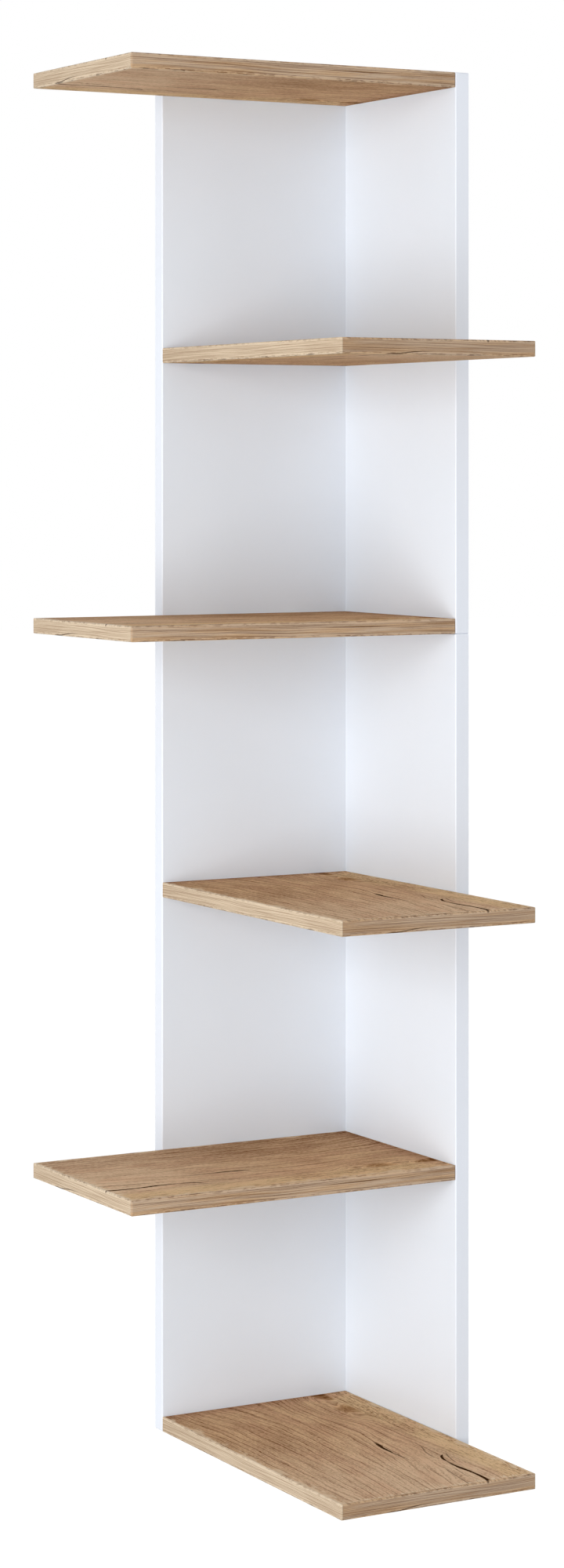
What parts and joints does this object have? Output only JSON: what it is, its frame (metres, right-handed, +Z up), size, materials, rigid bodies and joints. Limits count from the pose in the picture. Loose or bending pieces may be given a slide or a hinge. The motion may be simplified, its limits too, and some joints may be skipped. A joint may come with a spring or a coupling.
{
  "type": "corner wall shelf",
  "caption": "L-shaped corner wall shelf: two white panels meet in the corner, and wood-decor shelves overhang the back panel and the side panel by turns.",
  "frame": {"origin": "foot of the corner line, where the back wall's and the side wall's planes meet at the underside of the lowest shelf", "axes": "+Z up along the corner line, +Y into the back wall, +X into the side wall; the shelf stands in negative X and negative Y"},
  "size_m": [0.444, 0.444, 1.618],
  "materials": {
    "white_board": "white melamine-faced particleboard, fine satin",
    "white_edging": "white edging strip, satin",
    "wood_decor": "melamine-faced particleboard with a light brown oak decor, embossed pores, matt",
    "wood_decor_edging": "edging strip with the same oak decor, its grain along the strip, matt",
    "beech": "bare beech",
    "zinc_steel": "zinc plated",
    "hanger_steel": "stamped sheet steel, zinc plated"
  },
  "bodies": {
    "root": {"back_panel_upper": "white_board", "back_panel_lower": "white_board", "side_panel_upper": "white_board", "side_panel_lower": "white_board", "back_edging_upper": "white_edging", "back_edging_lower": "white_edging", "side_edging_upper": "white_edging", "side_edging_lower": "white_edging", "corner_screws_upper": "zinc_steel", "corner_screws_lower": "zinc_steel", "hanger_screws_upper": "zinc_steel", "hanger_screws_lower": "zinc_steel", "shelf_1_screws": "zinc_steel", "shelf_2_screws": "zinc_steel", "shelf_3_screws": "zinc_steel", "shelf_4_screws": "zinc_steel", "shelf_5_screws": "zinc_steel", "shelf_6_screws": "zinc_steel", "corner_dowels_upper": "beech", "corner_dowels_lower": "beech", "seam_dowels": "beech", "shelf_1_dowels": "beech", "shelf_2_dowels": "beech", "shelf_3_dowels": "beech", "shelf_4_dowels": "beech", "shelf_5_dowels": "beech", "shelf_6_dowels": "beech", "hanger_upper_inner": "hanger_steel", "hanger_upper_outer": "hanger_steel", "hanger_lower_inner": "hanger_steel", "hanger_lower_outer": "hanger_steel", "shelf_1": "wood_decor", "shelf_2": "wood_decor", "shelf_3": "wood_decor", "shelf_4": "wood_decor", "shelf_5": "wood_decor", "shelf_6": "wood_decor", "shelf_1_edging": "wood_decor_edging", "shelf_2_edging": "wood_decor_edging", "shelf_3_edging": "wood_decor_edging", "shelf_4_edging": "wood_decor_edging", "shelf_5_edging": "wood_decor_edging", "shelf_6_edging": "wood_decor_edging"}
  },
  "joints": []
}
